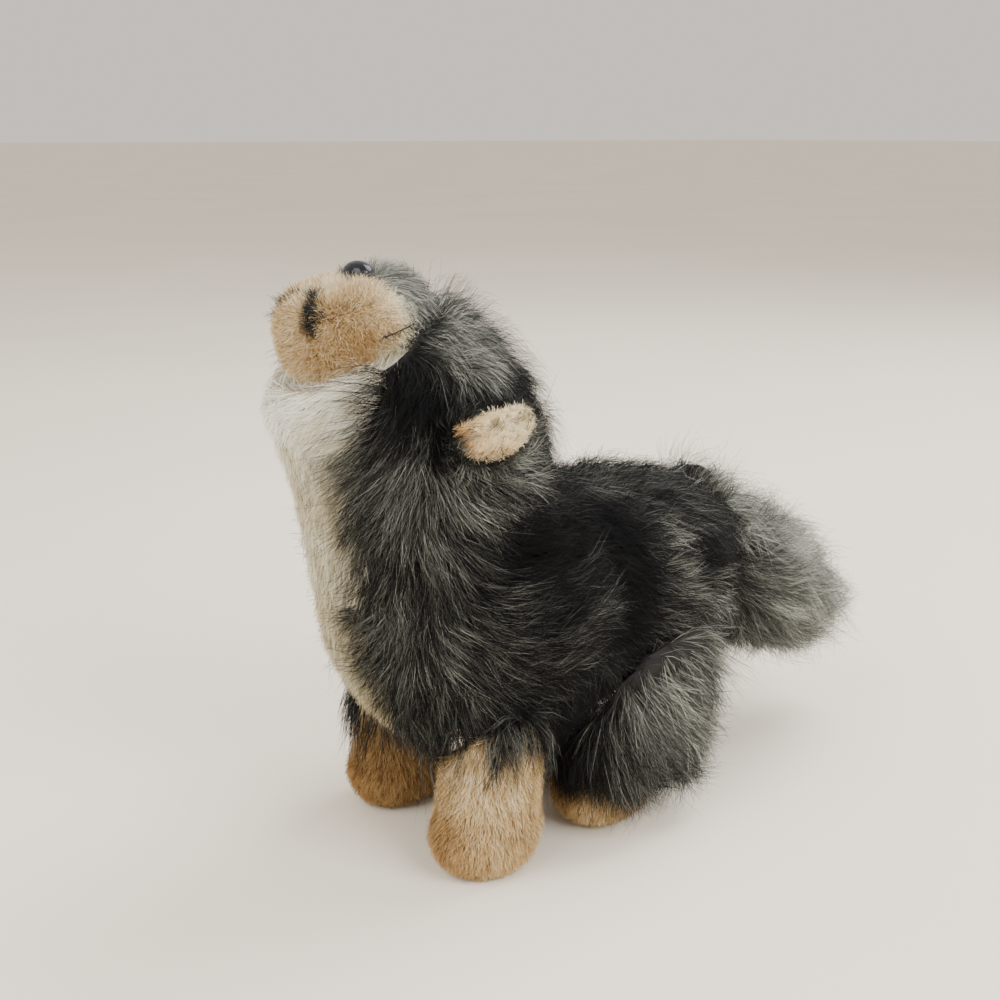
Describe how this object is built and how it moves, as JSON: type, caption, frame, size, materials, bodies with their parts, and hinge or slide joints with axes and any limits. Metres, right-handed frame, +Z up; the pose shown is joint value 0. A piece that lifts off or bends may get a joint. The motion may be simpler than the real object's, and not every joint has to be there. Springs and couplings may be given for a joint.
{
  "type": "plush wolf",
  "caption": "Soft toy wolf standing on four short paws with its head thrown back to howl, long shaggy dark coat, pale chest, tan muzzle and paws, bushy tail and a glossy bead nose.",
  "frame": {"origin": "middle of the box that holds the wolf, at the level of its soles", "axes": "+Z up, the wolf faces -Y with its tail towards +Y, and its own left side is +X"},
  "size_m": [0.0894, 0.2166, 0.1748],
  "materials": {
    "coat": "long shaggy pile, black with grey and cream guard hairs",
    "tail_coat": "long shaggy pile, grey beige with dark patches",
    "cream": "medium cream pile",
    "tan": "short caramel and tan pile",
    "ear_lining": "very short pale pile",
    "filling": "polyester fibre",
    "nose_plastic": "glossy black",
    "washer_plastic": "natural",
    "thread": "dark brown embroidery thread and black cloth"
  },
  "bodies": {
    "root": {"body_coat_left": "coat", "body_coat_right": "coat", "head_coat_left": "coat", "head_coat_right": "coat", "belly_panel": "cream", "chest_bib": "cream", "body_stuffing": "filling", "head_stuffing": "filling", "muzzle_left": "tan", "muzzle_right": "tan", "bridge_strip": "coat", "lower_jaw": "tan", "mouth_lining_left": "thread", "mouth_lining_right": "thread", "nose": "nose_plastic", "nose_washer": "washer_plastic", "eyelid_left": "thread", "eyelid_right": "thread", "ear_back_left": "coat", "ear_back_right": "coat", "ear_lining_left": "ear_lining", "ear_lining_right": "ear_lining", "front_leg_left": "tan", "front_leg_right": "tan", "front_leg_stuffing_left": "filling", "front_leg_stuffing_right": "filling", "hind_leg_left": "tan", "hind_leg_right": "tan", "hind_leg_stuffing_left": "filling", "hind_leg_stuffing_right": "filling", "haunch_left": "coat", "haunch_right": "coat", "tail": "tail_coat", "tail_stuffing": "filling"}
  },
  "joints": []
}
